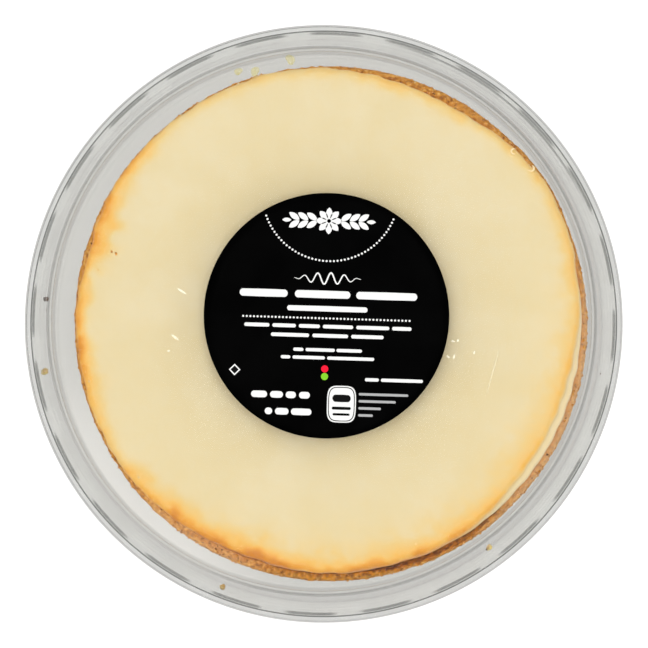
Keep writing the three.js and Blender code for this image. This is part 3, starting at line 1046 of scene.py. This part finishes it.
def dotted_lines():
    """The straight dotted rule and the dotted arc that cuts the label's top off."""
    along = np.linspace(-RULE_HALF, RULE_HALF, RULE_DOTS)
    turn = np.linspace(-ARC_HALF, ARC_HALF, ARC_DOTS)
    arc_x = ARC_CENTRE[0] + ARC_RADIUS * np.sin(turn)
    arc_y = ARC_CENTRE[1] - ARC_RADIUS * np.cos(turn)
    x = np.concatenate([along, arc_x])
    y = np.concatenate([0 * along + RULE_LEVEL, arc_y])
    inside = np.hypot(x, y) < LABEL_RADIUS - 1
    return flat_shapes(*dots(np.stack([x, y], -1)[inside], DOT_RADIUS))


def garland():
    """A plain ornament: a rosette between two sprigs of leaves."""
    petals = angles(PETAL_COUNT)
    petal_places = GARLAND_CENTRE + PETAL_REACH * np.stack([np.cos(petals), np.sin(petals)], -1)
    shapes = [leaves(petal_places, petals, *PETAL_SIZE)]
    for side, out in [(1, 0), (-1, math.pi)]:
        for lift in (1, -1):
            x = side * SPRIG_STEPS
            places = GARLAND_CENTRE + np.stack([x, lift * SPRIG_LEAF_LIFT + 0 * x], -1)
            directions = np.full(len(x), out + side * lift * SPRIG_LEAF_TURN)
            shapes.append(leaves(places, directions, *SPRIG_LEAF_SIZE))
        shapes.append(leaves([GARLAND_CENTRE + (side * SPRIG_TIP, 0)], [0], *SPRIG_TIP_SIZE))
    return np.concatenate([flat_shapes(*shape) for shape in shapes])


def flourish():
    """A thin wavy line along a sine that dies away towards both ends: four corners carried
    along it, to both sides and at two heights. Its half width follows the cosine of a
    quarter turn to each side."""
    along = np.linspace(-1, 1, 121)
    fading = np.cos(along * math.pi / 2)
    y = FLOURISH_LEVEL + FLOURISH_WAVE * np.sin(5 * math.pi * along) * fading
    x, y = on_label(FLOURISH_HALF * along, y)
    way = np.gradient(x + 1j * y)
    left = 1j * way / np.abs(way) * (0.06 + 0.16 * fading)
    corners = (x + 1j * y)[:, None] + np.stack([left, left, -left, -left], -1)
    low, high = LABEL_TOP - 0.01, LABEL_TOP + PRINT_HEIGHT
    levels = np.broadcast_to([low, high, high, low], corners.shape)
    return np.stack([corners.real, corners.imag, levels], -1)


def fine_lines():
    """Short grey lines, one under the other."""
    levels = FINE_LINE_TOP - FINE_LINE_STEP * np.arange(len(FINE_LINES))
    lengths = np.array(FINE_LINES)
    places = np.stack([FINE_LINE_LEFT + lengths / 2, levels], -1)
    return flat_shapes(*bars(places, lengths, FINE_LINE_HEIGHT))


def make_print():
    """All print on the label, one piece for each form and ink."""
    inks = {name: make_ink(name + "_ink", tone(*colour)) for name, colour in INKS.items()}
    pieces = [
        ("words", "white", word_bars()),
        ("dots", "white", dotted_lines()),
        ("garland", "white", garland()),
        ("flourish", "white", flourish()[None]),
        ("fine", "grey", fine_lines()),
    ]
    for ink, spot in SPOTS.items():
        pieces.append((ink, ink, flat_shapes(*dots([spot], SPOT_RADIUS, 24))))
    for layer, (name, ink, inset) in enumerate(BADGE_LAYERS):
        outline = rounded_box(BADGE_CENTRE, *(BADGE_HALVES - inset))
        pieces.append(("badge_" + name, ink, flat_shapes(*outline, layer)))
    rows = [
        flat_shapes(*bars([BADGE_CENTRE + (0, level)], [length], thickness), len(BADGE_LAYERS))
        for level, length, thickness in BADGE_ROWS
    ]
    pieces.append(("badge_rows", "black", np.concatenate(rows)))
    for layer, (name, ink, width) in enumerate(DIAMOND_LAYERS):
        diamond = dots([DIAMOND_CENTRE], width / 2, 4)
        pieces.append(("diamond_" + name, ink, flat_shapes(*diamond, layer)))
    for name, ink, shapes in pieces:
        add_piece("print_" + name, shapes, inks[ink], smooth=False)


# Studio


def make_floor():
    """A plain pale floor just under the pack."""
    material, _ = new_material("pale_floor")
    inputs = {
        "Base Color": tone(FLOOR_TONE, FLOOR_TONE, FLOOR_TONE),
        "Roughness": 0.9,
        "Emission Color": (1, 1, 1, 1),
        "Emission Strength": FLOOR_GLOW,
    }
    finish_solid(material, inputs)
    mesh = bpy.data.meshes.new("floor")
    half = FLOOR_SIZE / 2
    corners = [(-half, -half), (half, -half), (half, half), (-half, half)]
    mesh.from_pydata([(*corner, FLOOR_LEVEL) for corner in corners], [], [(0, 1, 2, 3)])
    mesh.materials.append(material)
    new_object("floor", mesh)


def make_surroundings():
    """Pale surroundings, brightest near the horizon and dark straight above."""
    world = bpy.data.worlds.new("surroundings")
    bpy.context.scene.world = world
    world.use_nodes = True
    tree = world.node_tree
    tree.nodes.clear()
    direction = place(tree, "TexCoord").outputs["Generated"]
    up = place(tree, "SeparateXYZ", {0: direction}).outputs["Z"]
    shown = ramp(tree, up, [(sine, (grey, grey, grey, 1)) for sine, grey in SKY_GREYS])
    light = place(tree, "Background", {"Color": shown, "Strength": SKY_STRENGTH})
    place(tree, "OutputWorld", {"Surface": light.outputs[0]})


def make_soft_light(name, azimuth, elevation, power, size):
    """A square soft light that faces the pack from a direction in degrees."""
    light = bpy.data.lights.new(name, "AREA")
    light.size = size
    light.energy = power
    lamp = new_object(name, light)
    level = math.cos(elevation * DEGREE)
    across = level * math.cos(azimuth * DEGREE), level * math.sin(azimuth * DEGREE)
    out = Vector((*across, math.sin(elevation * DEGREE)))
    lamp.location = out * LIGHT_DISTANCE
    lamp.rotation_euler = out.to_track_quat("Z", "Y").to_euler()


def make_camera():
    """The camera looks down at the aim with +Y up in the picture."""
    camera = bpy.data.cameras.new("camera")
    camera.sensor_width = SENSOR
    camera.lens = SENSOR * CAMERA_DISTANCE / IMAGE_WIDTH
    out = Vector((*CAMERA_LEAN, 1)).normalized()
    right = (-out).cross(Vector((0, 1, 0))).normalized()
    upward = out.cross(right)
    holder = new_object("camera", camera)
    turn = Matrix((right, upward, out)).transposed()
    holder.matrix_world = Matrix.Translation(AIM + CAMERA_DISTANCE * out) @ turn.to_4x4()
    bpy.context.scene.camera = holder


make_camera()
bpy.context.scene.view_settings.view_transform = "Standard"
bpy.context.scene.cycles.transparent_max_bounces = 24
make_floor()
make_surroundings()
for light_name, values in LIGHTS.items():
    make_soft_light(light_name, *values)

make_tray(make_clear_plastic("clear_tray", tone(248, 248, 247), tone(228, 228, 227), 0.02))
make_lid(make_clear_plastic("clear_lid", tone(249, 249, 248), tone(236, 236, 235), 0.006))
make_label(make_label_paper())
cream_material = make_baked_filling()
make_filling(cream_material)
crumb_material = make_crumb_crust()
make_crust(crumb_material)
make_small_things(crumb_material, cream_material)
make_print()
